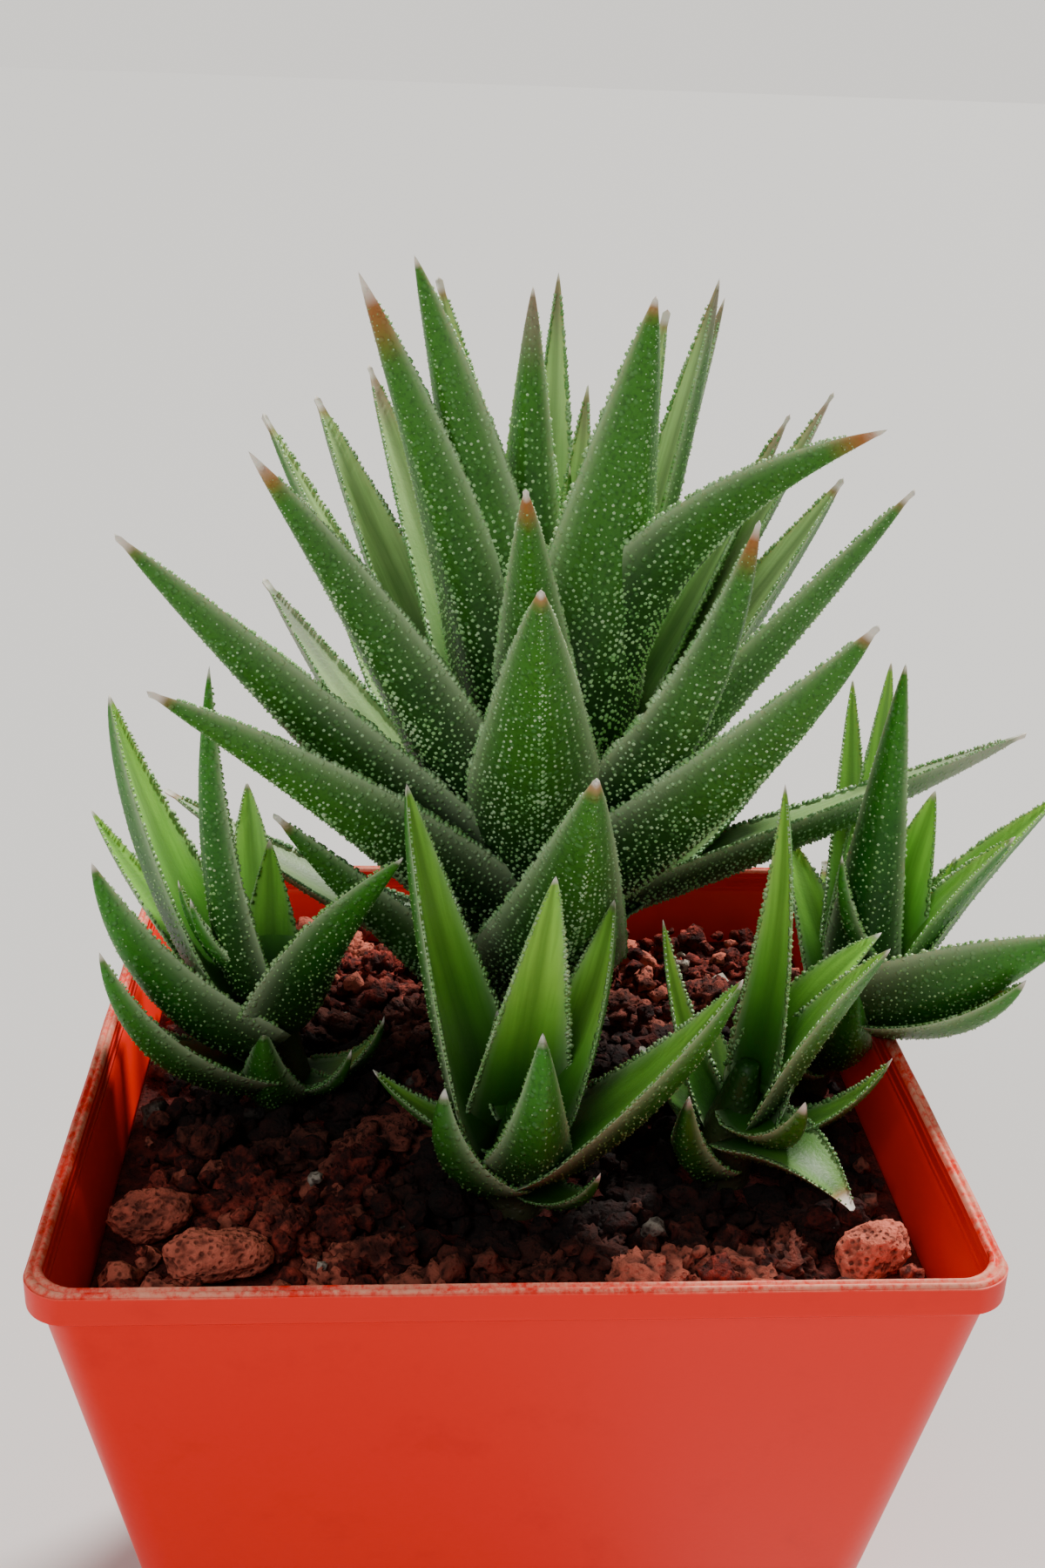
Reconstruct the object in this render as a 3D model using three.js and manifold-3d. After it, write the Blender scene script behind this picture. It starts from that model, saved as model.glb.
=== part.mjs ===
// Potted haworthia rigida: a square nursery pot of red lava grit, one tall rosette and four offsets.
// Millimetres, +Z up. The origin is the centre of the pot's flat underside and the front faces -Y.
import * as THREE from 'three';
import { mergeVertices } from 'three/addons/utils/BufferGeometryUtils.js';
import Module from 'manifold-3d';

// Pot
const POT_HEIGHT = 75;
const RIM_HALF = 40;
const BASE_HALF = 28;
const RIM_WIDTH = 1.3;
const LIP_HEIGHT = 3.2;
const LIP_PROUD = 0.9;
const INNER_STEP = 0.6;
const BASE_THICKNESS = 1.8;
const RIM_CORNER = 3.5;
const BASE_CORNER = 6;
const DRAIN_RADIUS = 4;
const DRAIN_OFFSET = 14;

// Growing mix
const MIX_LEVEL = 66.5;
const HOLE_FLOOR = 58;
const GAP = 0.3;
const GRAIN_COUNT = 110;
const GRAIN_SMALL = 2.8;
const GRAIN_LARGE = 4.8;
const GRAIN_FLATNESS = 0.72;

// Loose stones that lie on the mix: centre, half lengths along x, y and z, and turn in degrees
const LOOSE_STONES = [
  { at: [-25.5, -27, 68.9], half: [5.2, 2.8, 2.5], turn: 4 },
  { at: [-32.5, -21.5, 69], half: [4.4, 2.3, 2.3], turn: 12 },
  { at: [32, -27.5, 69.1], half: [4.2, 3.2, 2.6], turn: 35 },
];

// Leaf shape, as shares of the half width, and the steps along a leaf from root to tip
const LONG_LEAF = 30;
const LONG_LEAF_STEPS = [0, 0.15, 0.32, 0.5, 0.68, 0.84, 0.95];
const SHORT_LEAF_STEPS = [0, 0.15, 0.42, 0.7, 0.91];
const LEAF_SECTION = [[0, 0.18], [-1, 0], [-0.6, 0.52], [0.1, 0.8], [0.66, 0.5], [1, 0]];
const ROOT_WIDTH = 0.6;
const WIDEST_STEP = 0.15;
const TAPER = 0.8;
const ROOT_DEPTH = 0.6;
const TIP_DEPTH = 1.2;
const ROOT_OFFSET = 0.5;

// Stem: height of its crown, and its radius at the neck and the top as shares of its foot's
const STEM_CROWN = 6;
const STEM_NECK = 0.8;
const STEM_TOP = 0.35;

// Each leaf: height of its root, turn round the stem (0 is +X, 90 is the back), lean from upright,
// reach from stem to tip, greatest width, bow (above 0 the tip curls up) and roll of the blade.
const MAIN_LEAVES = [
  [78, 155, 74, 45, 11, 1, 0],
  [79, 275, 43, 45, 20, 2, 0],
  [84, 213, 52, 52, 18, -2, -25],
  [84, 148, 47, 45, 13, 0, 0],
  [86, 8, 73, 55, 17, 0, 20],
  [84, 25, 58, 42, 16, 3, 0],
  [87, 205, 45, 58, 18, -0.5, -25],
  [88, 265, 35, 47, 19, -1, 0],
  [88, 320, 45, 49, 19, 1, 20],
  [89, 218, 35, 57, 17, -2, -15],
  [91, 348, 40, 52, 17, -1, 15],
  [91, 165, 33, 51, 13, 0, 0],
  [93, 140, 36, 50, 15, 0, 0],
  [93, 15, 41, 47, 17, 0, 0],
  [94, 308, 35, 45, 14, 4, 15],
  [93, 20, 35, 53, 11, 0, 0],
  [94, 22, 33, 48, 11, 0, 0],
  [96, 128, 35, 49, 13, 0, 0],
  [97, 214, 22, 56, 15, -2, -15],
  [97, 30, 22, 52, 11, 0, 0],
  [98, 10, 17, 52, 15, 0, 0],
  [100, 220, 18.5, 53, 17, -2, -10],
  [99, 328, 39, 50, 19, -8, 20],
  [101, 260, 34, 39, 11, -1, 0],
  [101, 130, 20, 48, 12, -1, 0],
  [102, 308, 15, 47, 20, 0, 10],
  [103, 60, 12, 35, 8, 0, 0],
  [104, 245, 8.5, 44, 11, 1, 0],
  [106, 86, 19, 43, 8, 1, 0],
  [106, 200, 6, 29, 6, 0, 0],
  [107, 330, 4, 24, 6, 0, 0],
  [74, 205, 46, 38, 14, 0, -25],
];
const LEFT_LEAVES = [
  [72, 222, 46, 27, 13, 3, 0],
  [70, 320, 57, 11.5, 5, 2, 0],
  [76, 205, 38, 27, 15, 2, -25],
  [78, 320, 38, 28, 14, -2, 0],
  [69, 262, 36, 13, 9, 2, 0],
  [70, 350, 55, 13, 7, 2, 0],
  [77, 92, 30, 18, 9, 1, 0],
  [78, 150, 50, 27, 8, 1, 0],
  [80, 150, 31, 33, 16, 1.5, -20],
  [80, 99, 50, 24, 10, 1, 0],
  [80, 230, 9, 36, 8, 2, 0],
  [83, 190, 34, 13, 5, 1, 0],
  [84, 208, 36, 11, 5, 1, 0],
];
const FRONT_LEAVES = [
  [71.5, 210, 37, 13, 12, 2, 0],
  [70, 315, 64, 11, 6, 2, 0],
  [74, 175, 62, 15, 6, 1, 0],
  [72, 278, 25, 20, 10, 3, 0],
  [73, 345, 43, 28, 16, 1, 0],
  [74, 110, -11, 30, 12, 0, 0],
  [74, 150, 20, 35, 14, 0.5, 0],
  [76, 27, 23.5, 22.8, 12, 1, 0],
  [77, 120, 24, 10, 5, 1, 0],
];
const FRONT_RIGHT_LEAVES = [
  [73, 308, 97, 15, 12, -2, 0],
  [72, 130, 29, 21, 5, 1, 0],
  [76, 296, 63, 10.5, 9, 2.5, 0],
  [72, 350, 57, 17, 6, 2, 0],
  [69, 228, 36, 12, 8, 2, 0],
  [74, 20, 41, 22, 12, -2.5, 0],
  [75, 345, 34, 22, 12, -1.2, 0],
  [77, 30, 3.5, 30.5, 8, 1, 0],
  [77, 30, 23, 12.5, 7, -0.5, 0],
];
const RIGHT_LEAVES = [
  [72, 274, 34, 14, 9, 2, 0],
  [70, 215, 42, 12, 8, 2, 0],
  [78.5, 318, 64.5, 19, 13, 2, 0],
  [78, 328, 57.5, 24, 21, -1, 35],
  [77, 82, 43, 37, 7, 0, 0],
  [77, 73, 38, 38, 8, 0, 0],
  [78, 345, 34, 24, 13, -1.5, 0],
  [79, 5, 41, 28, 12, -1.5, 0],
  [79, 240, -5.5, 34.5, 9, 0, 0],
  [80, 20, 36, 16, 6, 1, 0],
  [81, 40, 23, 20, 11, 0, 0],
  [83, 200, 25, 14, 5, 1, 0],
];

// Each rosette: foot of its stem on the mix, its heart, stem radius, leaves, and the rule for the
// leaves that close its far side: count, turns, root heights, leans, reaches and widths.
const ROSETTES = {
  main_rosette: {
    foot: [2.5, 8], heart: [3.5, 8, 108], stem: 5.5, color: 0x2f6b2a, leaves: MAIN_LEAVES,
    far: { count: 10, turn: [50, 130], rise: [72, 98], lean: [70, 26], reach: [44, 50], width: [13, 13] },
  },
  left_offset: {
    foot: [-22, 2], heart: [-24, -3, 84], stem: 3.2, color: 0x3c7a30, leaves: LEFT_LEAVES,
    far: { count: 2, turn: [125, 175], rise: [73, 75], lean: [62, 56], reach: [18, 20], width: [9, 9] },
  },
  front_offset: {
    foot: [0.5, -16], heart: [0.5, -19, 79], stem: 3, color: 0x5c9a34, leaves: FRONT_LEAVES,
    far: { count: 1, turn: [20, 20], rise: [71, 71], lean: [62, 62], reach: [13, 13], width: [7, 7] },
  },
  front_right_offset: {
    foot: [20.5, -12], heart: [22, -14, 80], stem: 3, color: 0x4c8a32, leaves: FRONT_RIGHT_LEAVES,
    far: { count: 2, turn: [80, 200], rise: [71, 72], lean: [60, 58], reach: [12, 12], width: [7, 7] },
  },
  right_offset: {
    foot: [31.5, 4], heart: [38, 0, 84], stem: 3, color: 0x43812f, leaves: RIGHT_LEAVES,
    far: { count: 3, turn: [50, 130], rise: [77, 78], lean: [58, 52], reach: [18, 20], width: [9, 9] },
  },
};

const wasm = await Module();
wasm.setup();

// Make a manifold solid of a closed geometry.
function solidOf(geometry) {
  const bare = geometry.index ? geometry.clone() : geometry;
  bare.deleteAttribute('normal');
  bare.deleteAttribute('uv');
  const merged = mergeVertices(bare, 1e-5);
  return new wasm.Manifold(new wasm.Mesh({
    numProp: 3,
    vertProperties: new Float32Array(merged.attributes.position.array),
    triVerts: new Uint32Array(merged.index.array),
  }));
}

// Make a named mesh of a manifold solid.
function meshOf(name, solid, color, roughness) {
  const data = solid.getMesh();
  const geometry = new THREE.BufferGeometry();
  geometry.setAttribute('position', new THREE.BufferAttribute(new Float32Array(data.vertProperties), 3));
  geometry.setIndex(new THREE.BufferAttribute(new Uint32Array(data.triVerts), 1));
  geometry.computeVertexNormals();
  const material = new THREE.MeshStandardMaterial({ color, roughness, metalness: 0 });
  const mesh = new THREE.Mesh(geometry, material);
  mesh.name = name;
  return mesh;
}

// Close a stack of rings with as many points each: the first ring gets a flat cap, and the last one
// gets a flat cap too or runs out to a tip.
function loft(rings, tip) {
  const count = rings[0].length;
  const points = rings.flat();
  const triangles = [];
  for (let i = 0; i + 1 < rings.length; i += 1) {
    for (let j = 0; j < count; j += 1) {
      const a = i * count + j;
      const b = i * count + (j + 1) % count;
      triangles.push(a, b, b + count, a, b + count, a + count);
    }
  }
  for (let j = 1; j + 1 < count; j += 1) triangles.push(0, j + 1, j);
  const last = (rings.length - 1) * count;
  if (tip) points.push(tip);
  for (let j = 0; j < count; j += 1) {
    if (tip) triangles.push(last + j, last + (j + 1) % count, points.length - 1);
    else if (j > 0 && j + 1 < count) triangles.push(last, last + j, last + j + 1);
  }
  const geometry = new THREE.BufferGeometry().setFromPoints(points);
  geometry.setIndex(triangles);
  return solidOf(geometry);
}

// A level square ring with rounded corners.
function squareRing(half, corner, z) {
  const ring = [];
  const steps = 3;
  for (const [sx, sy, start] of [[1, 1, 0], [-1, 1, 90], [-1, -1, 180], [1, -1, 270]]) {
    for (let i = 0; i <= steps; i += 1) {
      const angle = THREE.MathUtils.degToRad(start + 90 * i / steps);
      ring.push(new THREE.Vector3(
        sx * (half - corner) + corner * Math.cos(angle),
        sy * (half - corner) + corner * Math.sin(angle),
        z,
      ));
    }
  }
  return ring;
}

// Inner half width of the pot's tapered wall at height z.
function wallHalf(z) {
  const top = RIM_HALF - RIM_WIDTH - INNER_STEP;
  const bottom = BASE_HALF - RIM_WIDTH;
  return THREE.MathUtils.mapLinear(z, BASE_THICKNESS, POT_HEIGHT - LIP_HEIGHT, bottom, top);
}

function makePot() {
  const lipFoot = POT_HEIGHT - LIP_HEIGHT;
  const outside = loft([
    squareRing(BASE_HALF, BASE_CORNER, 0),
    squareRing(RIM_HALF - LIP_PROUD, RIM_CORNER, lipFoot),
    squareRing(RIM_HALF, RIM_CORNER, lipFoot + LIP_PROUD / 2),
    squareRing(RIM_HALF, RIM_CORNER, POT_HEIGHT),
  ]);
  const inside = loft([
    squareRing(wallHalf(BASE_THICKNESS), BASE_CORNER - RIM_WIDTH, BASE_THICKNESS),
    squareRing(wallHalf(lipFoot), RIM_CORNER - RIM_WIDTH, lipFoot),
    squareRing(RIM_HALF - RIM_WIDTH, RIM_CORNER - RIM_WIDTH, lipFoot + INNER_STEP / 2),
    squareRing(RIM_HALF - RIM_WIDTH, RIM_CORNER - RIM_WIDTH, POT_HEIGHT + 1),
  ]);
  let pot = outside.subtract(inside);
  for (const [sx, sy] of [[1, 1], [-1, 1], [-1, -1], [1, -1]]) {
    const hole = new THREE.CylinderGeometry(DRAIN_RADIUS, DRAIN_RADIUS, BASE_THICKNESS * 3, 12);
    hole.rotateX(Math.PI / 2);
    hole.translate(sx * DRAIN_OFFSET, sy * DRAIN_OFFSET, 0);
    pot = pot.subtract(solidOf(hole));
  }
  return pot;
}

// An even number between 0 and 1 for step i of a rule, without chance.
function share(i, stride) {
  return (0.5 + i * stride) % 1;
}

// A rough stone: an icosahedron with its corners pushed in and out.
function makeStone(at, half, turn, number) {
  const geometry = mergeVertices(bareIcosahedron(), 1e-5);
  const position = geometry.attributes.position;
  for (let i = 0; i < position.count; i += 1) {
    const push = 0.8 + 0.36 * share(number * 12 + i, 0.381966);
    position.setXYZ(i, position.getX(i) * push * half[0], position.getY(i) * push * half[1],
      position.getZ(i) * push * half[2]);
  }
  geometry.rotateZ(THREE.MathUtils.degToRad(turn));
  geometry.translate(at[0], at[1], at[2]);
  return solidOf(geometry);
}

function bareIcosahedron() {
  const geometry = new THREE.IcosahedronGeometry(1, 0);
  geometry.deleteAttribute('normal');
  geometry.deleteAttribute('uv');
  return geometry;
}

// The axis of a rosette's stem at height z.
function axisPoint(rosette, z) {
  const [fx, fy] = rosette.foot;
  const [hx, hy, hz] = rosette.heart;
  const t = (z - MIX_LEVEL) / (hz - MIX_LEVEL);
  return new THREE.Vector3(fx + (hx - fx) * t, fy + (hy - fy) * t, z);
}

// The radius of a rosette's stem at height z: slowly narrowing, then drawn in over its last few
// millimetres.
function stemRadius(rosette, z) {
  const top = rosette.heart[2];
  const neck = top - STEM_CROWN;
  if (z > neck) return rosette.stem * THREE.MathUtils.mapLinear(z, neck, top, STEM_NECK, STEM_TOP);
  return rosette.stem * THREE.MathUtils.mapLinear(z, MIX_LEVEL, neck, 1, STEM_NECK);
}

// A fleshy leaf: flat to hollow on its inner face, keeled on its outer one, and tapered to a point.
function makeLeaf(rosette, [rise, turn, lean, reach, width, bow, roll]) {
  const axis = axisPoint(rosette, rise);
  const turned = THREE.MathUtils.degToRad(turn);
  const leaned = THREE.MathUtils.degToRad(lean);
  const up = new THREE.Vector3(0, 0, 1);
  const outward = new THREE.Vector3(Math.cos(turned), Math.sin(turned), 0);
  const along = outward.clone().multiplyScalar(Math.sin(leaned)).addScaledVector(up, Math.cos(leaned));
  const back = outward.clone().multiplyScalar(Math.cos(leaned)).addScaledVector(up, -Math.sin(leaned));
  const across = new THREE.Vector3().crossVectors(along, back);
  const root = axis.clone().addScaledVector(outward, ROOT_OFFSET * stemRadius(rosette, rise));
  const tip = axis.clone().addScaledVector(along, reach);
  const middle = root.clone().add(tip).multiplyScalar(0.5).addScaledVector(back, 2 * bow);
  const spine = new THREE.QuadraticBezierCurve3(root, middle, tip);
  const steps = reach < LONG_LEAF ? SHORT_LEAF_STEPS : LONG_LEAF_STEPS;
  const rings = steps.map((t) => {
    const centre = spine.getPoint(t);
    const tangent = spine.getTangent(t);
    const side = across.clone().applyAxisAngle(tangent, -THREE.MathUtils.degToRad(roll));
    const outer = new THREE.Vector3().crossVectors(side, tangent);
    const swell = ROOT_WIDTH + (1 - ROOT_WIDTH) * Math.min(1, t / WIDEST_STEP);
    const half = width / 2 * (1 - t) ** TAPER * swell;
    const depth = half * (ROOT_DEPTH + (TIP_DEPTH - ROOT_DEPTH) * t);
    return LEAF_SECTION.map(([a, b]) => centre.clone()
      .addScaledVector(side, a * half)
      .addScaledVector(outer, b * depth));
  });
  return loft(rings, tip);
}

// A round stem: upright in its hole in the mix, then leaning to the heart of the rosette.
function makeStem(rosette) {
  const ring = (centre, radius) => Array.from({ length: 8 }, (_, i) => {
    const angle = i * Math.PI / 4;
    const reach = new THREE.Vector3(Math.cos(angle), Math.sin(angle), 0);
    return centre.clone().addScaledVector(reach, radius);
  });
  const heart = axisPoint(rosette, rosette.heart[2]);
  const foot = axisPoint(rosette, MIX_LEVEL);
  const sunk = foot.clone().setZ(HOLE_FLOOR + GAP);
  const collar = foot.clone().setZ(MIX_LEVEL + 1);
  const neck = axisPoint(rosette, rosette.heart[2] - STEM_CROWN);
  return loft([
    ring(sunk, rosette.stem),
    ring(collar, rosette.stem),
    ring(neck, rosette.stem * STEM_NECK),
    ring(heart, rosette.stem * STEM_TOP),
  ]);
}

function farLeaves({ count, turn, rise, lean, reach, width }) {
  const rows = [];
  for (let i = 0; i < count; i += 1) {
    const t = count > 1 ? i / (count - 1) : 0;
    const blend = ([from, to]) => from + (to - from) * t;
    const around = turn[0] + (turn[1] - turn[0]) * share(i, 0.618034);
    rows.push([blend(rise), around, blend(lean), blend(reach), blend(width), 0, 0]);
  }
  return rows;
}

// A stem with all its leaves fused to it. The largest body is the plant, and the slivers of space that
// leaf bases seal between them are filled by leaving them out.
function makeRosette(rosette) {
  const leaves = [...rosette.leaves, ...farLeaves(rosette.far)].map((row) => makeLeaf(rosette, row));
  const fused = leaves.reduce((body, leaf) => body.add(leaf), makeStem(rosette));
  return fused.decompose().reduce((most, body) => (body.volume() > most.volume() ? body : most));
}

// The mix: the filled body of the pot with rough grains on top and a plain hole for each stem.
function makeMix(plants, stones) {
  const corner = RIM_CORNER - RIM_WIDTH;
  let mix = loft([
    squareRing(wallHalf(BASE_THICKNESS + GAP) - GAP, BASE_CORNER - RIM_WIDTH, BASE_THICKNESS + GAP),
    squareRing(wallHalf(MIX_LEVEL) - GAP, corner, MIX_LEVEL),
  ]);
  const neighbours = [...plants, ...stones];
  for (let i = 0; i < GRAIN_COUNT; i += 1) {
    const size = GRAIN_SMALL + (GRAIN_LARGE - GRAIN_SMALL) * share(i, 0.618034);
    const room = wallHalf(MIX_LEVEL) - 1.17 * size - GAP;
    const x = room * (2 * share(i, 0.754878) - 1);
    const y = room * (2 * share(i, 0.569840) - 1);
    const at = [x, y, MIX_LEVEL + size * (0.35 * share(i, 0.414214) - 0.1)];
    const half = [size, size * (0.75 + 0.3 * share(i, 0.732051)), size * GRAIN_FLATNESS];
    const turn = 180 * share(i, 0.236068);
    const around = makeStone(at, half.map((h) => h + GAP * 1.3), turn, i);
    const blocked = neighbours.some((solid) => !around.intersect(solid).isEmpty());
    if (!blocked) mix = mix.add(makeStone(at, half, turn, i));
  }
  for (const rosette of Object.values(ROSETTES)) {
    const [x, y] = rosette.foot;
    const hole = new THREE.CylinderGeometry(rosette.stem + GAP * 1.2, rosette.stem + GAP * 1.2, 20, 16);
    hole.rotateX(Math.PI / 2);
    hole.translate(x, y, HOLE_FLOOR + 10);
    mix = mix.subtract(solidOf(hole));
  }
  return mix;
}

const plant = new THREE.Group();
const rosettes = Object.entries(ROSETTES)
  .map(([name, rosette]) => [name, makeRosette(rosette), rosette.color]);
const stones = LOOSE_STONES.map(({ at, half, turn }, i) => makeStone(at, half, turn, i + 40));

plant.add(meshOf('pot', makePot(), 0xd8452a, 0.45));
plant.add(meshOf('substrate', makeMix(rosettes.map((row) => row[1]), stones), 0x7c3226, 0.95));
stones.forEach((solid, i) => plant.add(meshOf(`lava_stone_${i + 1}`, solid, 0x9a4534, 0.95)));
rosettes.forEach(([name, solid, color]) => plant.add(meshOf(name, solid, color, 0.5)));

export default plant;
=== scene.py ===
# Potted haworthia rigida: one tall rosette and four offsets in red lava grit, in a square plastic pot.
# Metres, +Z up. The origin is under the middle of the pot, and the pot's front faces -Y.
import math
import random

import bmesh
import bpy
from mathutils import Matrix, Vector, noise
from mathutils.bvhtree import BVHTree


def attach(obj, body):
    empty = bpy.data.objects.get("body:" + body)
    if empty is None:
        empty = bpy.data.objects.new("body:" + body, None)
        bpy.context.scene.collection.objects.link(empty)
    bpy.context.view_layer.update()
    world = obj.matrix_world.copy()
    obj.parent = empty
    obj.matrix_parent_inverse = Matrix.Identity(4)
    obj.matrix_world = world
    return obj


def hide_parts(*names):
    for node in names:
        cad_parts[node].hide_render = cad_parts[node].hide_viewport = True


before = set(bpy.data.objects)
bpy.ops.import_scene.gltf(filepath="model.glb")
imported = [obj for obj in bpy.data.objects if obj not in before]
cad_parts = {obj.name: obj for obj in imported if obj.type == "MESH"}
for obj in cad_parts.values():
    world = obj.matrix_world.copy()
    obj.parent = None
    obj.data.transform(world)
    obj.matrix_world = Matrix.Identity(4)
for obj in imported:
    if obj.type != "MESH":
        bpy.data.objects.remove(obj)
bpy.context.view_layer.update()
MM = 0.001
scene = bpy.context.scene


# The camera stands a little left of the pot's middle and looks down on the plant, as the photographer
# did. It is turned to the right of straight ahead, tipped down and very slightly rolled.
CAMERA_PLACE = Vector((-9.8, -152.3, 164.6)) * MM
CAMERA_YAW = math.radians(4.09)
CAMERA_PITCH = math.radians(22.27)
CAMERA_ROLL = math.radians(2.01)

lens = bpy.data.cameras.new("camera")
lens.lens = 40
lens.sensor_width = 36
lens.clip_start = 0.01
lens.clip_end = 20
camera = bpy.data.objects.new("camera", lens)
camera.matrix_world = (
    Matrix.Translation(CAMERA_PLACE)
    @ Matrix.Rotation(-CAMERA_YAW, 4, "Z")
    @ Matrix.Rotation(math.pi / 2 - CAMERA_PITCH, 4, "X")
    @ Matrix.Rotation(CAMERA_ROLL, 4, "Z")
)
scene.collection.objects.link(camera)
scene.camera = camera


# The pot is one thin moulding of orange-red plastic, square and tapered, with a proud lip round its
# mouth. The lip's top carries two fine beads, scuffed pale by handling, and the corners are rounded.
POT_HEIGHT = 75 * MM
RIM_HALF = 40 * MM
BASE_HALF = 28 * MM
RIM_WIDTH = 1.3 * MM
LIP_HEIGHT = 3.2 * MM
LIP_PROUD = 0.9 * MM
INNER_STEP = 0.6 * MM
BASE_THICKNESS = 1.8 * MM
RIM_CORNER = 3.5 * MM
BASE_CORNER = 6 * MM
DRAIN_RADIUS = 4 * MM
DRAIN_OFFSET = 14 * MM
BEAD = 0.22 * MM
WAVE = 0.14 * MM
POT_COLUMNS = 160
CREASE = math.radians(38)
POT_COLOUR = (0.92, 0.012, 0.001, 1)
POT_DEEP_COLOUR = (0.62, 0.008, 0.001, 1)
POT_SCUFF_COLOUR = (0.95, 0.36, 0.24, 1)


class Wire:
    """A socket of a material, on which sums are written as on plain numbers."""

    def __init__(self, finish, socket):
        self.finish = finish
        self.socket = socket

    def sum(self, operation, *values):
        return self.finish.node("ShaderNodeMath", {"operation": operation}, dict(enumerate(values)))

    def __add__(self, other):
        return self.sum("ADD", self, other)

    def __sub__(self, other):
        return self.sum("SUBTRACT", self, other)

    def __rsub__(self, other):
        return self.sum("SUBTRACT", other, self)

    def __mul__(self, other):
        return self.sum("MULTIPLY", self, other)

    __radd__ = __add__
    __rmul__ = __mul__


class Finish:
    """A material, built by calls that add its nodes."""

    def __init__(self, name, sockets=None):
        self.material = bpy.data.materials.new(name)
        self.material.use_nodes = True
        self.tree = self.material.node_tree
        self.shader = self.tree.nodes["Principled BSDF"]
        for socket, value in (sockets or {}).items():
            self.feed(socket, value)

    def feed(self, socket, value):
        if isinstance(socket, str):
            socket = self.shader.inputs[socket]
        if isinstance(value, Wire):
            self.tree.links.new(value.socket, socket)
        else:
            socket.default_value = value

    def node(self, kind, settings=None, inputs=None, output=0):
        node = self.tree.nodes.new(kind)
        for setting, value in (settings or {}).items():
            setattr(node, setting, value)
        for socket, value in (inputs or {}).items():
            self.feed(node.inputs[socket], value)
        return Wire(self, node.outputs[output])

    def mix(self, factor, first, second, blend="MIX"):
        settings = {"data_type": "RGBA", "blend_type": blend}
        return self.node("ShaderNodeMix", settings, {0: factor, 6: first, 7: second}, 2)

    def place(self):
        return self.node("ShaderNodeTexCoord", output="Object")

    def noise(self, size, detail=3, roughness=0.55, where=None):
        inputs = {"Vector": where or self.place(), "Scale": 1 / size, "Detail": detail}
        return self.node("ShaderNodeTexNoise", inputs={**inputs, "Roughness": roughness})

    def step(self, value, low, high):
        settings = {"interpolation_type": "SMOOTHSTEP"}
        inputs = {"Value": value, "From Min": low, "From Max": high}
        return self.node("ShaderNodeMapRange", settings, inputs)

    def zone(self, attribute, channel):
        colour = self.node("ShaderNodeAttribute", {"attribute_name": attribute})
        return self.node("ShaderNodeSeparateColor", inputs={0: colour}, output=channel)

    def bump(self, height, depth, strength=1.0):
        inputs = {"Height": height, "Distance": depth, "Strength": strength}
        self.feed("Normal", self.node("ShaderNodeBump", inputs=inputs))


def wrap_grid(columns, rows, place, weld=1e-6, marks=(), paint=None):
    """A grid of faces whose corners place(u, v) sets in space, welded where its edges meet."""
    shape = bmesh.new()
    layers = [shape.verts.layers.float_color.new(mark) for mark in marks]
    bmesh.ops.create_grid(shape, x_segments=columns, y_segments=rows, size=0.5)
    for vert in shape.verts:
        u, v = vert.co.x + 0.5, vert.co.y + 0.5
        vert.co = place(u, v)
        for layer, value in zip(layers, paint(u, v) if paint else ()):
            vert[layer] = value
    bmesh.ops.remove_doubles(shape, verts=shape.verts, dist=weld)
    bmesh.ops.recalc_face_normals(shape, faces=shape.faces)
    return shape


def make_piece(name, shape, finish, replaces=()):
    """Put a finished shape in the scene as a piece of the object."""
    mesh = bpy.data.meshes.new(name)
    shape.to_mesh(mesh)
    shape.free()
    mesh.materials.append(finish.material)
    mesh.shade_smooth()
    piece = bpy.data.objects.new(name, mesh)
    scene.collection.objects.link(piece)
    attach(piece, "root")
    if replaces:
        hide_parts(*replaces)
    return piece


def wall_half(z):
    """Inner half width of the tapered wall at height z."""
    share = (z - BASE_THICKNESS) / (POT_HEIGHT - LIP_HEIGHT - BASE_THICKNESS)
    bottom = BASE_HALF - RIM_WIDTH
    return bottom + (RIM_HALF - RIM_WIDTH - INNER_STEP - bottom) * share


def square_point(share, half, corner, z):
    """The point at a share of the way round a level square with rounded corners."""
    quarter, share = divmod(share * 4, 1)
    turn = Matrix.Rotation(quarter * math.pi / 2, 3, "Z")
    straight = half - corner
    bend = 0.3
    if share < 1 - bend:
        along = share / (1 - bend)
        return turn @ Vector((half, straight * (2 * along - 1), z))
    angle = (share - 1 + bend) / bend * math.pi / 2
    return turn @ Vector((straight + corner * math.cos(angle), straight + corner * math.sin(angle), z))


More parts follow.
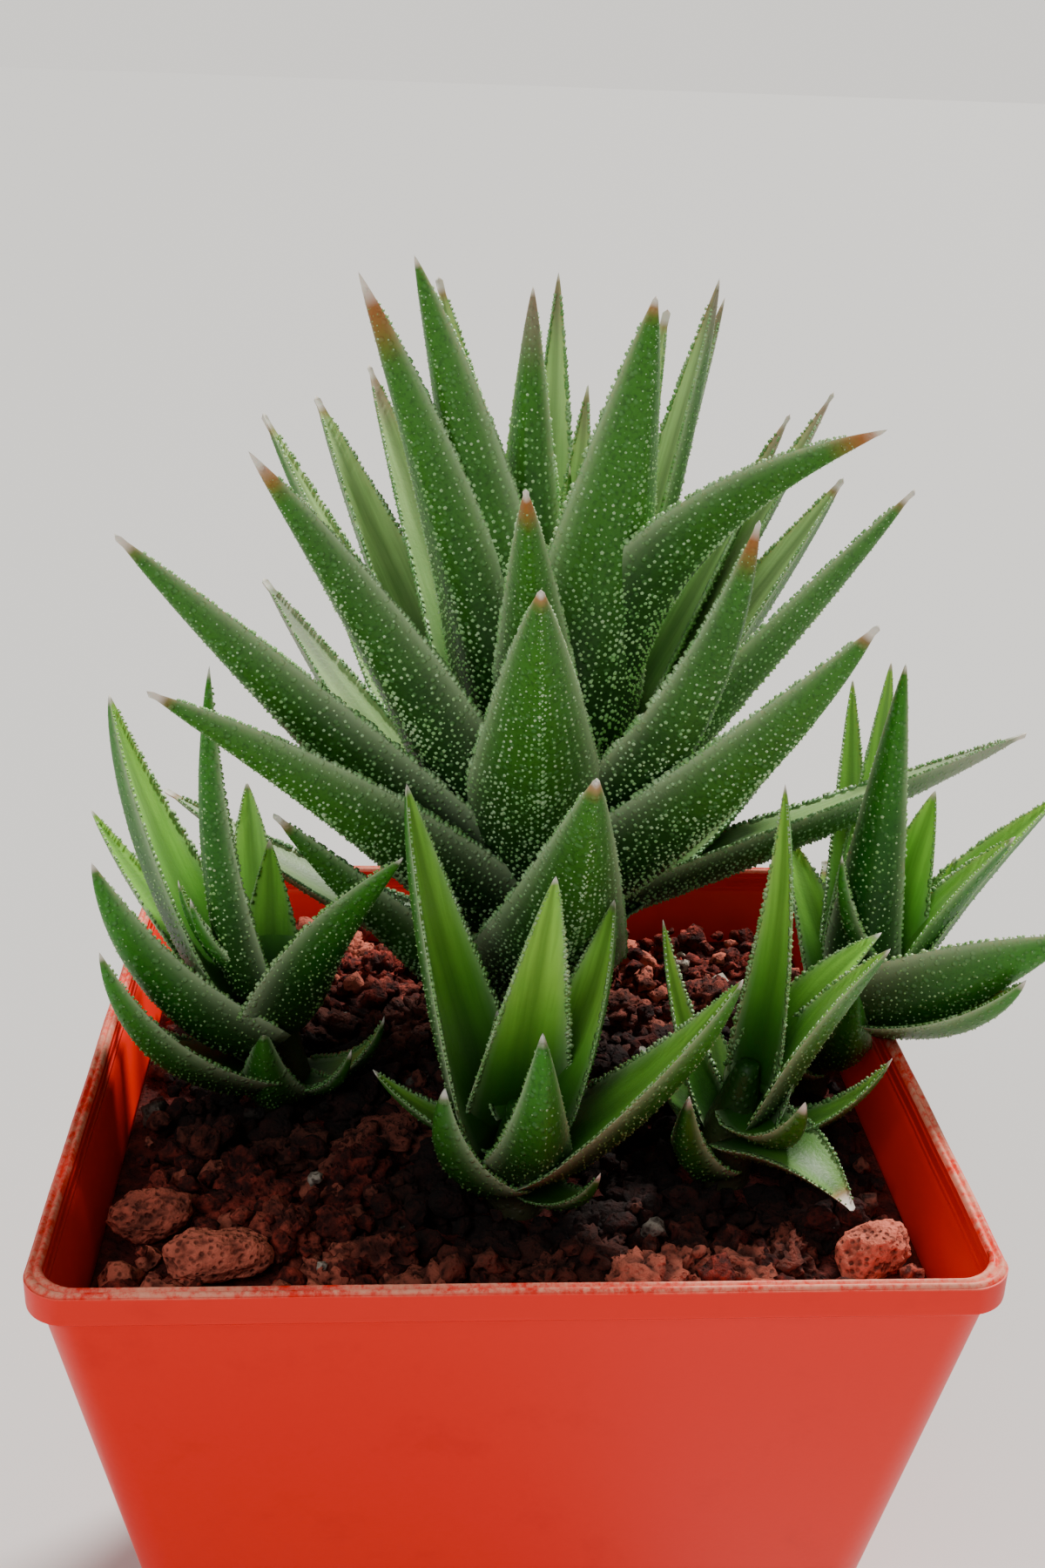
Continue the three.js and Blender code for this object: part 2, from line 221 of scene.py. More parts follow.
def pot_profile():
    """Half width, corner and height up the outside, over the beaded lip and down the inside."""
    foot = POT_HEIGHT - LIP_HEIGHT
    inner = RIM_HALF - RIM_WIDTH
    profile = [
        (0, 0, 0),
        (BASE_HALF - 2 * MM, BASE_CORNER - 2 * MM, 0),
        (BASE_HALF - 0.5 * MM, BASE_CORNER - 0.5 * MM, 0.05 * MM),
        (BASE_HALF, BASE_CORNER, 0.6 * MM),
    ]
    for i in range(1, 11):
        share = i / 10
        half = BASE_HALF + (RIM_HALF - LIP_PROUD - BASE_HALF) * share
        corner = BASE_CORNER + (RIM_CORNER - BASE_CORNER) * share
        profile.append((half, corner, (foot - 0.1 * MM) * share))
    profile += [
        (RIM_HALF - 0.25 * MM, RIM_CORNER, foot + 0.05 * MM),
        (RIM_HALF - 0.02 * MM, RIM_CORNER, foot + 0.3 * MM),
        (RIM_HALF, RIM_CORNER, foot + 0.6 * MM),
        (RIM_HALF, RIM_CORNER, POT_HEIGHT - 0.35 * MM),
    ]
    for i in range(13):
        share = i / 12
        bead = BEAD * (1 - abs(math.sin(share * 2 * math.pi)))
        height = POT_HEIGHT - bead - 0.1 * MM * (2 * share - 1) ** 8
        profile.append((RIM_HALF - 0.08 * MM - (RIM_WIDTH - 0.16 * MM) * share, RIM_CORNER, height))
    ledges = [(0.4, 0), (0.9, 0.02), (1.0, 0.14), (1.4, 0.14), (1.5, 0.02)]
    ledges += [(2.2, 0.02), (2.3, 0.16), (2.7, 0.16)]
    for drop, ledge in ledges:
        profile.append((inner - ledge * MM, RIM_CORNER - RIM_WIDTH, POT_HEIGHT - drop * MM))
    profile.append((wall_half(foot), RIM_CORNER - RIM_WIDTH, foot))
    for i in range(1, 9):
        z = foot + (BASE_THICKNESS - foot) * i / 8
        corner = RIM_CORNER - RIM_WIDTH + (BASE_CORNER - RIM_CORNER) * i / 8
        profile.append((wall_half(z), corner, z))
    profile.append((0, 0, BASE_THICKNESS))
    return profile


def make_pot():
    profile = pot_profile()
    rows = len(profile) - 1

    def place(u, v):
        half, corner, z = profile[round(v * rows)]
        point = square_point(u % 1, half, corner, z)
        height = z / POT_HEIGHT
        sway = WAVE * height ** 6 * noise.noise(Vector((u * 38, 3.1, height * 0.5)))
        out = Vector((point.x, point.y, 0)).normalized() * sway
        return point + out + Vector((0, 0, 0.5 * sway if height > 0.9 else 0))

    pot = wrap_grid(POT_COLUMNS, rows, place)
    holes = bmesh.new()
    for sx, sy in ((1, 1), (-1, 1), (-1, -1), (1, -1)):
        centre = Matrix.Translation((sx * DRAIN_OFFSET, sy * DRAIN_OFFSET, 0))
        bmesh.ops.create_cone(holes, cap_ends=True, segments=32, radius1=DRAIN_RADIUS,
                              radius2=DRAIN_RADIUS, depth=BASE_THICKNESS * 3, matrix=centre)
    piece = make_piece("pot_shell", pot, pot_plastic(), ["pot"])
    cut_away(piece, holes)
    piece.data.set_sharp_from_angle(angle=CREASE)


def cut_away(piece, cutter_shape):
    """Cut a shape out of a piece, and leave nothing of the cutter behind."""
    mesh = bpy.data.meshes.new("cutter")
    cutter_shape.to_mesh(mesh)
    cutter_shape.free()
    cutter = bpy.data.objects.new("cutter", mesh)
    scene.collection.objects.link(cutter)
    cut = piece.modifiers.new("cut", "BOOLEAN")
    cut.operation = "DIFFERENCE"
    cut.solver = "EXACT"
    cut.object = cutter
    bpy.context.view_layer.update()
    result = bpy.data.meshes.new_from_object(piece.evaluated_get(bpy.context.evaluated_depsgraph_get()))
    piece.modifiers.clear()
    old = piece.data
    piece.data = result
    bpy.data.meshes.remove(old)
    bpy.data.objects.remove(cutter)
    bpy.data.meshes.remove(mesh)


def pot_plastic():
    finish = Finish("pot_plastic", {"Subsurface Weight": 0.03, "Subsurface Scale": 0.002,
                                    "Specular IOR Level": 0.25})
    position = finish.node("ShaderNodeSeparateXYZ", inputs={0: finish.place()}, output="Z")
    lip = finish.step(position, POT_HEIGHT - 0.55 * MM, POT_HEIGHT - 0.12 * MM)
    streaks = finish.noise(9 * MM, 5, 0.6)
    scratches = finish.noise(0.7 * MM, 4, 0.7)
    scuff = lip * finish.step(scratches * 0.6 + streaks * 0.5, 0.42, 0.66)
    dust = finish.step(streaks, 0.52, 0.8) * 0.3
    plastic = finish.mix(dust, POT_COLOUR, POT_DEEP_COLOUR)
    finish.feed("Base Color", finish.mix(scuff, plastic, POT_SCUFF_COLOUR))
    finish.feed("Roughness", 0.34 + scuff * 0.3 + scratches * 0.12)
    finish.bump(scratches + streaks * 0.5, 0.03 * MM, 0.6)
    return finish


make_pot()


# The growing mix is red lava grit: rough, porous, brick-red grains of 3 to 9 mm with finer grit
# between them. It fills the pot to just under its lip. Round the stems' feet the grit is painted dark,
# as the shade that the leaves cast.
MIX_LEVEL = 66.5 * MM
GAP = 0.3 * MM
GRAIN_COUNT = 110
GRAIN_SMALL = 2.8
GRAIN_LARGE = 4.8
GRAIN_FLATNESS = 0.72
FACET_COUNT = 11
GRAIN_TIP = 0.7
PIT_CONTRAST = 3.4
GRIT_COUNT = 1300
GRIT_FIRST = 200
GRIT_ROOM = 2.2 * MM
GRIT_SMALL = 0.7
GRIT_SPREAD = 1.5
GRIT_LOW = 0.2
GRIT_LIFT = 2.9
PUMICE_SHARE = 0.018
PUMICE_TONE = 1.6
# Painted shade: grit near each stem's foot is darkened almost to black, for the shade under the leaves.
SOIL_SHADE_HEIGHT = 68
SOIL_SHADE_NEAR = 9 * MM
SOIL_SHADE_FAR = 26 * MM
LAVA_COLOUR = (0.5, 0.06, 0.036, 1)
LAVA_DARK_COLOUR = (0.045, 0.009, 0.007, 1)
LAVA_PALE_COLOUR = (0.85, 0.21, 0.13, 1)
SOIL_SHADE_COLOUR = (0.006, 0.003, 0.002, 1)
PUMICE_COLOUR = (0.72, 0.62, 0.5, 1)
STEM_FEET = {
    "main_rosette": (2.5, 8),
    "left_offset": (-22, 2),
    "front_offset": (0.5, -16),
    "front_right_offset": (20.5, -12),
    "right_offset": (31.5, 4),
}
STONES = ["lava_stone_1", "lava_stone_2", "lava_stone_3"]


def share(i, stride):
    """An even number between 0 and 1 for step i of a rule, without chance."""
    return (0.5 + i * stride) % 1


def grain_facets(seed, count):
    """The broken faces of a grain: the way each looks out, and how far from the middle it lies."""
    chance = random.Random(seed)
    facets = []
    for _ in range(count):
        way = Vector((chance.gauss(0, 1), chance.gauss(0, 1), chance.gauss(0, 1))).normalized()
        facets.append((way, 0.62 + 0.34 * chance.random()))
    return facets


def roughen(point, seed, facets):
    """How far a lava grain's surface stands out at a point on its unit ball: faces, lumps and pores."""
    here = point + Vector((seed * 3.7, seed * 1.9, seed * 5.3))
    reach = min([1.12] + [far / point.dot(way) for way, far in facets if point.dot(way) > 0.3])
    lumps = 0.18 * noise.noise(here * 1.7) + 0.2 * noise.noise(here * 4.3)
    pores = max(0, noise.noise(here * 3.4)) * 0.7 + max(0, noise.noise(here * 7.1)) * 0.5
    return reach + lumps - pores, pores


def add_grain(bed, at, half, turn, seed, detail, tone):
    """Add one grain to a bed of grains, unless it would touch a plant, a loose stone or a stem."""
    grain = bmesh.new()
    bmesh.ops.create_icosphere(grain, subdivisions=detail, radius=1)
    shades = grain.verts.layers.float_color.new("grain_tone")
    facets = grain_facets(seed, FACET_COUNT)
    # Painted shade: how near the grain lies to a stem's foot, where the leaves shade the grit.
    soil_shade = max(1 - smooth((at - foot).length, SOIL_SHADE_NEAR, SOIL_SHADE_FAR) for foot in stem_feet)
    for vert in grain.verts:
        push, pores = roughen(vert.co.normalized(), seed, facets)
        vert[shades] = (tone, min(1, pores * PIT_CONTRAST), soil_shade, 1)
        vert.co = Vector(vert.co[k] * push * half[k] * MM for k in range(3))
    place = Matrix.Translation(at) @ Matrix.Rotation(math.radians(turn), 4, "Z")
    tip = Matrix.Rotation((share(seed, 0.3247) - 0.5) * GRAIN_TIP, 4, "X")
    bmesh.ops.transform(grain, matrix=place @ tip, verts=grain.verts)
    inside = max(abs(at[0]), abs(at[1])) + 0.95 * half[0] * MM < wall_half(at[2])
    tree = BVHTree.FromBMesh(grain) if inside else None
    if inside and not any(other.overlap(tree) for other in standing):
        append(bed, grain)
    else:
        grain.free()


def smooth(value, low, high):
    """0 at low and 1 at high, easing in and out."""
    share = min(1, max(0, (value - low) / (high - low)))
    return share * share * (3 - 2 * share)


def append(whole, part):
    """Add one shape to another, and free it."""
    mesh = bpy.data.meshes.new("part")
    part.to_mesh(mesh)
    part.free()
    whole.from_mesh(mesh)
    bpy.data.meshes.remove(mesh)


def lava(name, scale):
    finish = Finish(name, {"Specular IOR Level": 0.25})
    tone = finish.zone("grain_tone", 0)
    pit = finish.zone("grain_tone", 1)
    soil_shade = finish.zone("grain_tone", 2)
    patches = finish.noise(1.9 * MM * scale, 6, 0.65)
    pores = finish.node("ShaderNodeTexVoronoi", {"feature": "F1"},
                        {"Vector": finish.place(), "Scale": 1 / (0.62 * MM), "Randomness": 1})
    open_pore = 1 - finish.step(pores, 0.12, 0.46)
    colour = finish.mix(finish.step(patches, 0.36, 0.68), LAVA_DARK_COLOUR, LAVA_COLOUR)
    colour = finish.mix(finish.step(tone + patches * 0.5, 0.7, 1.2), colour, LAVA_PALE_COLOUR)
    colour = finish.mix(finish.step(tone, 1.4, 1.5), colour, PUMICE_COLOUR)
    shadow = finish.step(pit + open_pore * 0.35, 0.15, 0.9)
    colour = finish.mix(shadow * 0.8, colour, LAVA_DARK_COLOUR)
    # Painted shade: grit near the stems' feet is darkened almost to black, for the shade under the
    # leaves.
    finish.feed("Base Color", finish.mix(soil_shade * 0.97, colour, SOIL_SHADE_COLOUR))
    finish.feed("Roughness", 0.92 - patches * 0.15)
    grain = finish.noise(0.35 * MM, 4, 0.7)
    crumbs = finish.noise(0.9 * MM * scale, 5, 0.7)
    finish.bump(patches * 0.7 + crumbs * 1.2 + grain * 0.5 - open_pore * 0.6, 0.4 * MM)
    return finish


def make_mix():
    """The filled body of the mix, a little uneven on top, with all the coarse grains set in it."""
    def place(u, v):
        floor = BASE_THICKNESS + GAP
        profile = [(0, floor), (wall_half(floor) - GAP, floor)]
        profile += [(wall_half(z * MM) - GAP, z * MM) for z in (14, 27, 40, 53, 62, 66)]
        brim = wall_half(MIX_LEVEL) - GAP - 0.4 * MM
        profile += [(brim * (1 - i / 26), MIX_LEVEL) for i in range(27)]
        half, z = profile[round(v * (len(profile) - 1))]
        corner = min(half * 0.9, RIM_CORNER - RIM_WIDTH)
        point = square_point(u % 1, half, corner, z)
        if z == MIX_LEVEL:
            point.z += 0.5 * MM * noise.noise(point * 260) - 0.15 * MM
        return point

    body = wrap_grid(4 * 24, 34, place)
    shades = body.verts.layers.float_color.new("grain_tone")
    for vert in body.verts:
        vert[shades] = (0.15, 0.75, 0, 1)
    for i in range(GRAIN_COUNT):
        size = GRAIN_SMALL + (GRAIN_LARGE - GRAIN_SMALL) * share(i, 0.618034)
        room = wall_half(MIX_LEVEL) - (1.17 * size + 0.3) * MM
        x = room * (2 * share(i, 0.754878) - 1)
        y = room * (2 * share(i, 0.569840) - 1)
        at = Vector((x, y, MIX_LEVEL + size * (0.35 * share(i, 0.414214) - 0.1) * MM))
        half = (size, size * (0.75 + 0.3 * share(i, 0.732051)), size * GRAIN_FLATNESS)
        add_grain(body, at, half, 180 * share(i, 0.236068), i, 4, 0.2 + 0.75 * share(i, 0.2898))
    make_piece("lava_grit", body, lava("lava_grit", 1), ["substrate"])


def make_fine_grit():
    """Finer grit that has settled between the coarse grains."""
    grit = bmesh.new()
    chance = random.Random(7)
    for i in range(GRIT_COUNT):
        room = wall_half(MIX_LEVEL) - GRIT_ROOM
        x = room * (2 * share(i, 0.7548777) - 1)
        y = room * (2 * share(i, 0.5698403) - 1)
        size = GRIT_SMALL + GRIT_SPREAD * chance.random() ** 1.8
        lift = (GRIT_LOW + GRIT_LIFT * chance.random() ** 2) * MM
        half = (size, size * (0.7 + 0.3 * chance.random()), size * 0.8)
        tone = PUMICE_TONE if chance.random() < PUMICE_SHARE else chance.random()
        at = Vector((x, y, MIX_LEVEL + lift))
        add_grain(grit, at, half, 360 * chance.random(), GRIT_FIRST + i, 2, tone)
    make_piece("fine_grit", grit, lava("fine_grit", 0.7))


def tree_of(node):
    return BVHTree.FromObject(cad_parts[node], bpy.context.evaluated_depsgraph_get())


bpy.context.view_layer.update()
standing = [tree_of(node) for node in [*STEM_FEET, *STONES]]
stem_feet = [Vector((*foot, SOIL_SHADE_HEIGHT)) * MM for foot in STEM_FEET.values()]
make_mix()
make_fine_grit()


# Three larger lava stones lie loose on the mix near the front wall. Each keeps its solid's form, and
# gets the broken, porous skin that crushed lava has.
STONE_CUTS = 9
STONE_ROUGHNESS = 0.9


def make_stone(node, tone):
    stone = bmesh.new()
    stone.from_mesh(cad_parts[node].data)
    bmesh.ops.remove_doubles(stone, verts=stone.verts, dist=1e-6)
    bmesh.ops.subdivide_edges(stone, edges=stone.edges, cuts=STONE_CUTS, use_grid_fill=True, smooth=0.35)
    bmesh.ops.triangulate(stone, faces=stone.faces)
    shades = stone.verts.layers.float_color.new("grain_tone")
    stone.normal_update()
    for vert in stone.verts:
        here = vert.co / MM
        lumps = 0.4 * noise.noise(here * 0.6) + 0.24 * noise.noise(here * 1.4)
        pores = 0.5 * abs(noise.noise(here * 2.1)) + 0.3 * abs(noise.noise(here * 4.6))
        vert[shades] = (tone, min(1, max(0, pores * 2 - lumps)), 0, 1)
        vert.co += vert.normal * (lumps - pores) * STONE_ROUGHNESS * MM
    bmesh.ops.recalc_face_normals(stone, faces=stone.faces)
    make_piece(node.replace("lava_stone", "loose_stone"), stone, stone_skin, [node])


stone_skin = lava("loose_stone", 1.2)
for node, tone in zip(STONES, (1.05, 0.7, 0.85)):
    make_stone(node, tone)


# The leaves are fleshy, hard and keeled. Each springs from its stem and tapers to a dried point, and
# its back and margins are set with raised white tubercles. Leaves of one rosette are one grown piece.
# Each row: height of the root, turn, lean from upright, reach, width, bow, roll, and kind of tip.
MAIN_LEAVES = [
    (78, 155, 74, 45, 11, 1, 0, "capped"),
    (79, 275, 43, 45, 20, 2, 0, "tinge"),
    (84, 213, 52, 52, 18, -2, -25, "capped"),
    (84, 148, 47, 45, 13, 0, 0, "grey"),
    (86, 8, 73, 55, 17, 0, 20, "grey"),
    (84, 25, 58, 42, 16, 3, 0, "green"),
    (87, 205, 45, 58, 18, -0.5, -25, "capped"),
    (88, 265, 35, 47, 19, -1, 0, "tinge"),
    (88, 320, 45, 49, 19, 1, 20, "capped"),
    (89, 218, 35, 57, 17, -2, -15, "thread"),
    (91, 348, 40, 52, 17, -1, 15, "capped"),
    (91, 165, 33, 51, 13, 0, 0, "capped"),
    (93, 140, 36, 50, 15, 0, 0, "capped"),
    (93, 15, 41, 47, 17, 0, 0, "capped"),
    (94, 308, 35, 45, 14, 4, 15, "scorched"),
    (93, 20, 35, 53, 11, 0, 0, "pink"),
    (94, 22, 33, 48, 11, 0, 0, "pink"),
    (96, 128, 35, 49, 13, 0, 0, "pink"),
    (97, 214, 22, 56, 15, -2, -15, "long"),
    (97, 30, 22, 52, 11, 0, 0, "dry"),
    (98, 10, 17, 52, 15, 0, 0, "dry"),
    (100, 220, 18.5, 53, 17, -2, -10, "green"),
    (99, 328, 39, 50, 19, -8, 20, "scorched"),
    (101, 260, 34, 39, 11, -1, 0, "scorched"),
    (101, 130, 20, 48, 12, -1, 0, "capped"),
    (102, 308, 15, 47, 20, 0, 10, "tinge"),
    (103, 60, 12, 35, 8, 0, 0, "dry"),
    (104, 245, 8.5, 44, 11, 1, 0, "dry"),
    (106, 86, 19, 43, 8, 1, 0, "dry"),
    (106, 200, 6, 29, 6, 0, 0, "green"),
    (107, 330, 4, 24, 6, 0, 0, "green"),
    (74, 205, 46, 38, 14, 0, -25, "capped"),
]
STEM_CROWN = 6
STEM_NECK = 0.8
STEM_TOP = 0.35
ROOT_WIDTH = 0.6
WIDEST_STEP = 0.15
TAPER = 0.8
ROOT_DEPTH = 0.6
TIP_DEPTH = 1.2
ROOT_OFFSET = 0.5
INNER_SHARE = 0.42
HOLLOW = 0.18
KEEL = 0.8
KEEL_SIDE = 0.1
KEEL_CURVE = 1.8
RIPPLE = 0.09
TIP_CROWDING = 1.35
MARGIN_SHARPNESS = 9
LEAF_COLUMNS = 26
MAIN_STEPS = 34
STUD_START = 0.07
STUD_END = 0.95
STUD_SINK = 0.2
STUD_SIDES = 5
MAIN_STUD_GAP = 0.78
MAIN_STUD_RADIUS = 0.2
HOLE_FLOOR = 58
# For each kind of tip: length that has dried white, length that has changed colour above the green,
# radius of its end, in millimetres, and the colour of the changed part.
TIPS = {
    "green": (0.5, 0.6, 0.08, (0.16, 0.22, 0.07)),
    "tinge": (0.7, 1.1, 0.3, (0.42, 0.2, 0.05)),
    "capped": (1.3, 1.0, 0.46, (0.36, 0.18, 0.08)),
    "scorched": (0.9, 3.2, 0.28, (0.4, 0.13, 0.03)),
    "pink": (1.2, 5.5, 0.34, (0.5, 0.36, 0.27)),
    "thread": (2.0, 2.2, 0.16, (0.4, 0.15, 0.03)),
    "long": (2.2, 5.0, 0.12, (0.38, 0.12, 0.03)),
    "dry": (0.6, 6.0, 0.12, (0.26, 0.22, 0.15)),
    "grey": (1.3, 15.0, 0.5, (0.3, 0.34, 0.24)),
}
MARGIN_COLOUR = (0.5, 0.66, 0.38, 1)
DOT_COLOUR = (0.1, 0.28, 0.07, 1)
DRY_COLOUR = (0.8, 0.76, 0.66, 1)
STEM_COLOUR = (0.05, 0.045, 0.02)
# Leaves and tubercles are painted darker lower down on the plant, as shade, from SHADE_FOOT up to each
# skin's shade_top.
SHADE_FOOT = 70 * MM
SHADE = 0.7
LEAF_MARKS = ("leaf_form", "leaf_dry", "leaf_scorch", "leaf_grain")


class Rosette:
    """A stem with its leaves: where its foot stands, where its heart is, and its stem's radius."""

    def __init__(self, foot, heart, stem):
        self.foot = Vector((*foot, MIX_LEVEL / MM))
        self.heart = Vector(heart)
        self.stem = stem

    def axis(self, z):
        return self.foot.lerp(self.heart, (z - self.foot.z) / (self.heart.z - self.foot.z))

    def radius(self, z):
        neck = self.heart.z - STEM_CROWN
        if z > neck:
            return self.stem * (STEM_NECK + (STEM_TOP - STEM_NECK) * (z - neck) / STEM_CROWN)
        return self.stem * (1 + (STEM_NECK - 1) * (z - self.foot.z) / (neck - self.foot.z))


class Leaf:
    """One leaf as a curved, tapered solid: at() gives any point of its skin, in millimetres."""

    def __init__(self, rosette, row, number):
        rise, turn, lean, self.reach, self.width, bow, roll, self.tip = row
        self.number = number
        self.roll = math.radians(roll)
        turn, lean = math.radians(turn), math.radians(lean)
        axis = rosette.axis(rise)
        up = Vector((0, 0, 1))
        outward = Vector((math.cos(turn), math.sin(turn), 0))
        along = outward * math.sin(lean) + up * math.cos(lean)
        back = outward * math.cos(lean) - up * math.sin(lean)
        self.across = along.cross(back)
        self.root = axis + outward * ROOT_OFFSET * rosette.radius(rise)
        self.end = axis + along * self.reach
        self.middle = (self.root + self.end) / 2 + back * 2 * bow

    def half(self, t):
        swell = ROOT_WIDTH + (1 - ROOT_WIDTH) * smooth(t, -WIDEST_STEP, WIDEST_STEP * 1.2)
        taper = self.width / 2 * max(0, 1 - t) ** TAPER * swell
        left = (1 - t) * self.reach
        end = TIPS[self.tip][2]
        blunt = math.sqrt(max(0, end * end - (end - min(left, end)) ** 2)) if left < 3 * end else 0
        return max(taper, blunt)

    def at(self, t, a, b):
        """The point at t along, a across and b out from the inner face, both in half widths."""
        centre = self.root * (1 - t) ** 2 + self.middle * 2 * t * (1 - t) + self.end * t * t
        tangent = ((self.middle - self.root) * (1 - t) + (self.end - self.middle) * t).normalized()
        side = Matrix.Rotation(-self.roll, 3, tangent) @ self.across
        outer = side.cross(tangent)
        half = self.half(t)
        depth = half * (ROOT_DEPTH + (TIP_DEPTH - ROOT_DEPTH) * t)
        return centre + side * a * half + outer * b * depth

    def skin(self, t, around):
        """The point of the skin at t along and a share of the way round, from margin to margin."""
        a, b = section(around)
        return self.at(t, a, b)


def section(around):
    """Across and out at a share of the way round a leaf: its hollow face, then its keeled back."""
    if around < INNER_SHARE:
        a = -math.cos(math.pi * around / INNER_SHARE)
        return a, HOLLOW * (1 - a * a)
    a = math.cos(math.pi * (around - INNER_SHARE) / (1 - INNER_SHARE))
    side = (a - KEEL_SIDE) / (1 - math.copysign(KEEL_SIDE, a - KEEL_SIDE))
    return a, KEEL * (1 - abs(side) ** KEEL_CURVE)


def add_leaf(rosette_shape, leaf, columns, rows):
    """Add one leaf to its rosette, with the zones of its skin written on its corners."""
    dried, changed, end, colour = TIPS[leaf.tip]

    def spot(u, v):
        t = 1 - (1 - v) ** TIP_CROWDING
        return t, u % 1, *section(u % 1)

    def place(u, v):
        t, _, a, b = spot(u, v)
        point = leaf.at(t, a, b)
        centre = leaf.at(t, 0, 0.3)
        ripple = RIPPLE * noise.noise(point * 0.55 + Vector((leaf.number, 0, 0))) * (1 - t)
        return (point + (point - centre).normalized() * ripple) * MM

    def paint(u, v):
        t, around, a, _ = spot(u, v)
        inner = 1 if 0 < around < INNER_SHARE else 0
        ridge = 1 - smooth(abs(a) if inner else abs(a - KEEL_SIDE), 0, 0.4 if inner else 0.2)
        left = (1 - t) * leaf.reach
        white = 1 - smooth(left, dried * 0.8, dried + 0.4)
        scorch = 1 - smooth(left, dried + changed * 0.2, dried + changed * 1.3)
        tone = share(leaf.number, 0.618034)
        grain = (a * leaf.half(t) / 10, t * leaf.reach / 10, tone, 1)
        return (inner, abs(a) ** MARGIN_SHARPNESS, ridge, 1), (white, scorch, t, 1), (*colour, 1), grain

    blade = wrap_grid(columns, rows, place, 1e-7, LEAF_MARKS, paint)
    ends = [edge for edge in blade.edges if edge.is_boundary]
    bmesh.ops.holes_fill(blade, edges=ends)
    bmesh.ops.recalc_face_normals(blade, faces=blade.faces)
    append(rosette_shape, blade)


def add_stem(rosette_shape, rosette):
    """Add the short stem: upright in its hole in the mix, then leaning to the rosette's heart."""
    heights = [HOLE_FLOOR + 0.3, HOLE_FLOOR + 0.3, MIX_LEVEL / MM + 1]
    heights += [rosette.foot.z + (rosette.heart.z - rosette.foot.z) * i / 12 for i in range(1, 13)]
    heights.append(rosette.heart.z)

    def place(u, v):
        row = round(v * (len(heights) - 1))
        z = heights[row]
        centre = rosette.axis(max(z, rosette.foot.z))
        radius = rosette.radius(max(z, rosette.foot.z))
        angle = 2 * math.pi * u
        way = Vector((math.cos(angle), math.sin(angle), 0))
        if row in (0, len(heights) - 1):
            radius = 0
        elif row > 2:
            radius *= 1 + 0.05 * noise.noise(way * 4 + Vector((0, 0, z)))
        return (Vector((centre.x, centre.y, z)) + way * radius) * MM

    def paint(u, v):
        return (0, 0, 0, 1), (0, 1 - smooth(v, 0.4, 0.8), v * 0.3, 1), (*STEM_COLOUR, 1), (u, v, 0.5, 1)

    append(rosette_shape, wrap_grid(20, len(heights) - 1, place, marks=LEAF_MARKS, paint=paint))


def far_leaves(count, turn, rise, lean, reach, width):
    """Leaves that close a rosette's far side, by rule."""
    rows = []
    for i in range(count):
        t = i / (count - 1) if count > 1 else 0
        round_share = share(i, 0.618034)
        blend = [low + (high - low) * t for low, high in (rise, lean, reach, width)]
        rows.append((blend[0], turn[0] + (turn[1] - turn[0]) * round_share, *blend[1:], 0, 0, "capped"))
    return rows


def add_tubercles(studs, leaf, gap, radius):
    """Set a leaf's back, margins and keel with rows of tubercles. Rows end where the leaf narrows."""
    chance = random.Random(leaf.number)
    rows = max(6, round(leaf.width * 1.25 / gap / 2) * 2)
    widest = leaf.width / 2
    for row in range(-1, rows + 2):
        around = math.acos(1 - 2 * min(rows, max(0, row)) / rows) / math.pi
        around = INNER_SHARE + (1 - INNER_SHARE) * around
        edge = row <= 0 or row >= rows
        if row in (-1, rows + 1):
            around = INNER_SHARE * (0.1 if row > 0 else 0.9)
        keel = abs(section(around)[0] - KEEL_SIDE) < 1.2 / rows
        step = gap * (0.75 if edge else 1.0) / leaf.reach
        t = STUD_START + step * (0.5 if row % 2 else 0)
        line = bmesh.new()
        while t < STUD_END:
            narrow = leaf.half(t) / widest
            kept = edge or keel or narrow > 0.6 or (narrow > 0.3 and row % 2 == 0) or row % 4 == 0
            t_here = t + step * 0.5 * (chance.random() - 0.5)
            round_here = around + 0.35 / rows * (chance.random() - 0.5)
            size = radius * (0.6 + 0.7 * chance.random()) * (1 - 0.5 * smooth(t, 0.5, STUD_END))
            if keel or edge:
                round_here = around
                size *= 1.2
            if kept and chance.random() > 0.1:
                set_stud(line, leaf, t_here, round_here % 1, size)
            t += step
        append(studs, line)


def set_stud(studs, leaf, t, around, size):
    """One tubercle: a low mound, its foot a little way into the leaf's skin."""
    here = leaf.skin(t, around)
    along = leaf.skin(t + 0.01, around) - here
    beside = leaf.skin(t, (around + 0.01) % 1) - here
    normal = along.cross(beside).normalized()
    if normal.dot(here - leaf.at(t, 0, 0.3)) < 0:
        normal.negate()
    depth = STUD_SINK + size * 0.9
    place = Matrix.Translation((here + normal * (depth / 2 - STUD_SINK)) * MM)
    place @= normal.to_track_quat("Z", "Y").to_matrix().to_4x4()
    bmesh.ops.create_cone(studs, cap_ends=True, segments=STUD_SIDES, radius1=size * 1.5 * MM,
                          radius2=0, depth=depth * MM, matrix=place)


